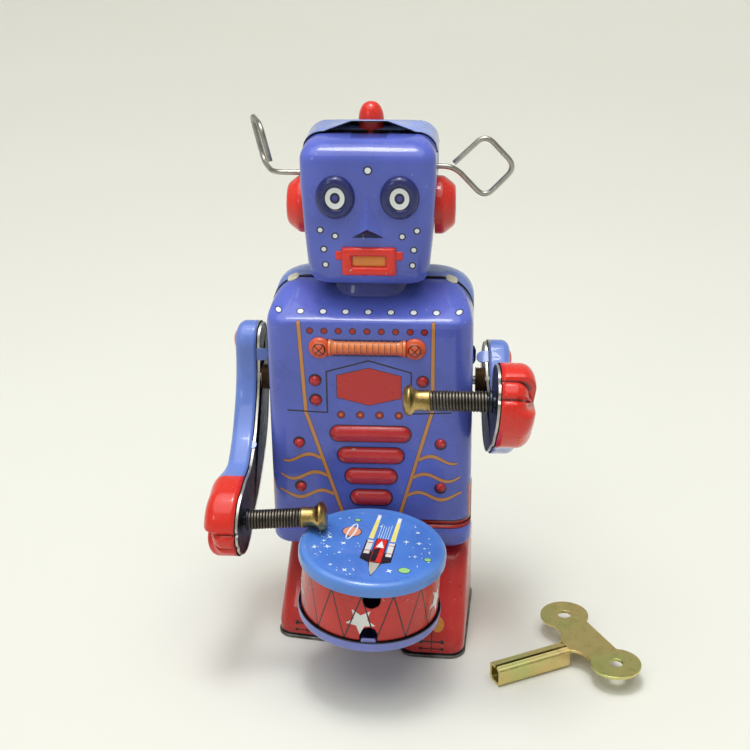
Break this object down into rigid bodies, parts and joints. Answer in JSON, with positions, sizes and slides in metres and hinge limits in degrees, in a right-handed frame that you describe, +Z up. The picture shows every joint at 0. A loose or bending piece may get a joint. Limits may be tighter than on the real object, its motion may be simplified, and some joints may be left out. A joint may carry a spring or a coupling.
{
  "type": "clockwork tin toy robot",
  "caption": "Clockwork tin toy robot that beats a drum hung at its waist and shuffles its feet, with arms on shoulder hubs, spring drumsticks, wire aerials, a gear train and a loose key.",
  "frame": {"origin": "On the floor under the middle of the box that holds the robot and its loose key.", "axes": "+Z up; the robot faces -Y; +X is the robot's left, where the key lies."},
  "size_m": [0.1395, 0.0915, 0.1796],
  "materials": {
    "blue": "glossy lithographed lacquer",
    "pale_blue": "glossy lithographed lacquer",
    "drum_blue": "glossy lithographed lacquer",
    "red": "glossy lithographed lacquer",
    "dark_tin": "dark, thinly lacquered tin",
    "bare_tin": "bare tinned plate",
    "steel": "plain steel",
    "spring_steel": "dark spring steel",
    "brass": "worn brass",
    "zinc": "yellow passivated zinc"
  },
  "bodies": {
    "robot": {"body_front_shell": "blue", "body_rear_shell": "blue", "base_pan": "blue", "neck_collar": "blue", "head_front_shell": "blue", "head_rear_shell": "blue", "crown_lamp": "red", "ear_left": "red", "ear_right": "red", "aerial_left": "steel", "aerial_right": "steel", "drum_head": "drum_blue", "drum_band": "red", "drum_pan": "blue", "drum_bracket": "bare_tin", "motor_plate_left": "bare_tin", "motor_plate_right": "bare_tin", "motor_pillar_1": "steel", "motor_pillar_2": "steel", "motor_pillar_3": "steel", "motor_pillar_4": "steel", "mainspring": "spring_steel"},
    "arm_left": {"arm_shell_left": "pale_blue", "arm_plate_left": "dark_tin", "shoulder_hub_left": "brass", "shoulder_cap_left": "red", "arm_shaft_left": "steel", "stick_socket_left": "dark_tin", "stick_spring_left": "spring_steel", "stick_tip_left": "brass"},
    "arm_right": {"arm_shell_right": "pale_blue", "arm_plate_right": "dark_tin", "shoulder_hub_right": "brass", "shoulder_cap_right": "red", "arm_shaft_right": "steel", "stick_socket_right": "dark_tin", "stick_spring_right": "spring_steel", "stick_tip_right": "brass"},
    "leg_left": {"foot_shell_left": "red", "sole_plate_left": "bare_tin", "leg_link_left": "bare_tin"},
    "leg_right": {"foot_shell_right": "red", "sole_plate_right": "bare_tin", "leg_link_right": "bare_tin"},
    "winding": {"winding_arbor": "steel"},
    "great": {"great_wheel": "brass"},
    "crank": {"crank_arbor": "steel", "crank_wheel": "brass", "crank_disc_left": "steel", "crank_disc_right": "steel"},
    "escape": {"escape_arbor": "steel", "escape_wheel": "brass"},
    "anchor": {"governor_anchor": "steel"},
    "key": {"winding_key": "zinc"}
  },
  "joints": [
    {"name": "left_arm_swing", "type": "hinge", "parent": "robot", "child": "arm_left", "pos_m": [-0.0196, 0.0234, 0.087], "axis": [1, 0, 0], "range_deg": [0, 56]},
    {"name": "right_arm_swing", "type": "hinge", "parent": "robot", "child": "arm_right", "pos_m": [-0.0196, 0.0234, 0.087], "axis": [1, 0, 0], "range_deg": [-56, 0]},
    {"name": "left_leg_shuffle", "type": "slide", "parent": "robot", "child": "leg_left", "axis": [0, 1, 0], "range_m": [0, 0.0086]},
    {"name": "right_leg_shuffle", "type": "slide", "parent": "robot", "child": "leg_right", "axis": [0, 1, 0], "range_m": [-0.0086, 0]},
    {"name": "winding_turn", "type": "hinge", "parent": "robot", "child": "winding", "pos_m": [-0.0196, 0.0264, 0.05], "axis": [1, 0, 0], "continuous": true},
    {"name": "great_wheel_turn", "type": "hinge", "parent": "robot", "child": "great", "pos_m": [-0.0196, 0.0264, 0.05], "axis": [1, 0, 0], "continuous": true},
    {"name": "crank_turn", "type": "hinge", "parent": "robot", "child": "crank", "pos_m": [-0.0196, 0.01789, 0.06474], "axis": [1, 0, 0], "continuous": true},
    {"name": "escape_turn", "type": "hinge", "parent": "robot", "child": "escape", "pos_m": [-0.0196, 0.0272, 0.07255], "axis": [1, 0, 0], "continuous": true},
    {"name": "anchor_rock", "type": "hinge", "parent": "robot", "child": "anchor", "pos_m": [-0.0196, 0.0272, 0.08155], "axis": [1, 0, 0], "range_deg": [-5, 5]},
    {"name": "key_lift", "type": "slide", "parent": "robot", "child": "key", "axis": [0, 0, 1], "range_m": [0, 0.03]}
  ],
  "couplings": [
    {"joint": "right_arm_swing", "follows": "left_arm_swing", "ratio": -1},
    {"joint": "left_leg_shuffle", "follows": "left_arm_swing", "m_per_rad": 0.0087},
    {"joint": "right_leg_shuffle", "follows": "left_arm_swing", "m_per_rad": -0.0087},
    {"joint": "crank_turn", "follows": "great_wheel_turn", "ratio": -4},
    {"joint": "escape_turn", "follows": "great_wheel_turn", "ratio": 12}
  ]
}
